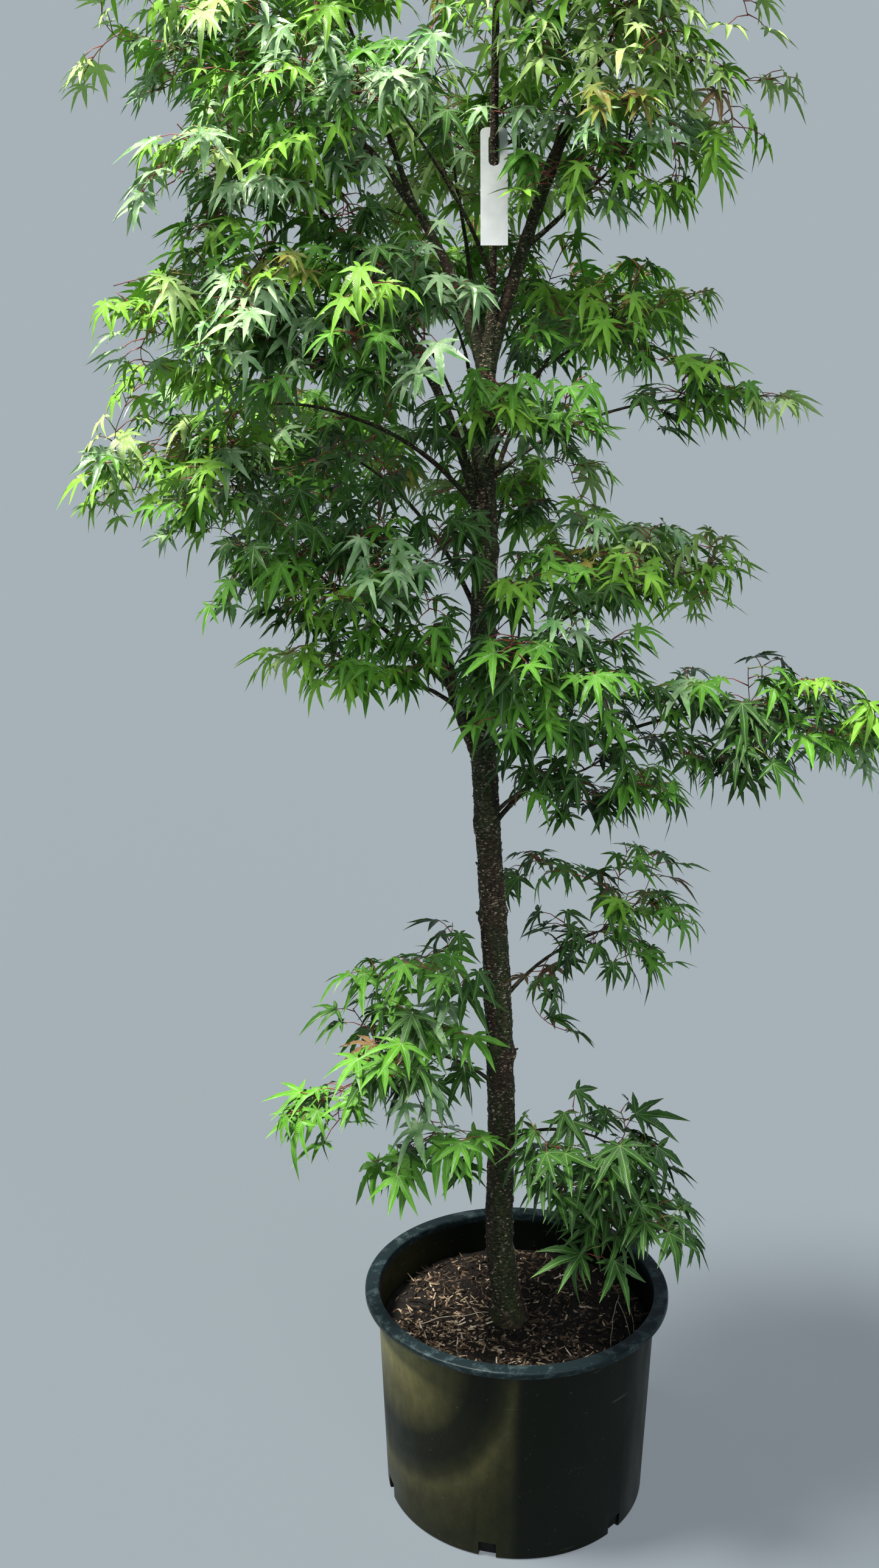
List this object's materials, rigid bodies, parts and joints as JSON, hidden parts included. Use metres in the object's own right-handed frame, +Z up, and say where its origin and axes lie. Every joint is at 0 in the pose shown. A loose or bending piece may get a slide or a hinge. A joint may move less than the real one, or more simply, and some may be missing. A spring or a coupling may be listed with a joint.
{
  "type": "potted arakawa japanese maple",
  "caption": "Young rough-bark Japanese maple in a black nursery pot: slim leaning trunk, thin boughs and open masses of drooping palmate leaves.",
  "frame": {"origin": "middle of the pot's flat underside, on the surface that the pot stands on", "axes": "+Z up along the tree, -Y towards the viewer of the picture, +X to the viewer's right"},
  "size_m": [0.9977, 0.6785, 2.0058],
  "materials": {
    "pot_plastic": "satin black blow-moulded plastic, scuffed, with a glossy rolled rim",
    "potting_mix": "moist dark bark mix with pale slivers and chips",
    "bark": "rough dark olive-brown bark with pale corky flecks",
    "leaf": "satin green leaves, yellow-green at the sunlit outside",
    "label_plastic": "blank matt white plastic"
  },
  "bodies": {
    "root": {"bough_back_leader": "bark", "bough_back_left": "bark", "bough_back_low": "bark", "bough_back_right": "bark", "bough_back_upper": "bark", "bough_front_mid": "bark", "bough_front_right": "bark", "bough_front_top": "bark", "bough_front_upper": "bark", "bough_left_foot": "bark", "bough_left_leader": "bark", "bough_left_low": "bark", "bough_left_lower": "bark", "bough_left_mid": "bark", "bough_left_outer": "bark", "bough_left_top": "bark", "bough_left_upper": "bark", "bough_low_stub": "bark", "bough_right_broad": "bark", "bough_right_foot": "bark", "bough_right_inner": "bark", "bough_right_leader": "bark", "bough_right_long": "bark", "bough_right_low": "bark", "bough_right_mid": "bark", "bough_right_small": "bark", "bough_right_top": "bark", "bough_right_upper": "bark", "label": "label_plastic", "leaves_back_leader": "leaf", "leaves_back_left": "leaf", "leaves_back_low": "leaf", "leaves_back_right": "leaf", "leaves_back_upper": "leaf", "leaves_front_mid": "leaf", "leaves_front_right": "leaf", "leaves_front_top": "leaf", "leaves_front_upper": "leaf", "leaves_left_foot": "leaf", "leaves_left_leader": "leaf", "leaves_left_low": "leaf", "leaves_left_lower": "leaf", "leaves_left_mid": "leaf", "leaves_left_outer": "leaf", "leaves_left_top": "leaf", "leaves_left_upper": "leaf", "leaves_right_broad": "leaf", "leaves_right_foot": "leaf", "leaves_right_inner": "leaf", "leaves_right_long": "leaf", "leaves_right_low": "leaf", "leaves_right_mid": "leaf", "leaves_right_small": "leaf", "leaves_right_top": "leaf", "leaves_right_upper": "leaf", "leaves_top": "leaf", "pot": "pot_plastic", "soil": "potting_mix", "trunk": "bark"}
  },
  "joints": []
}
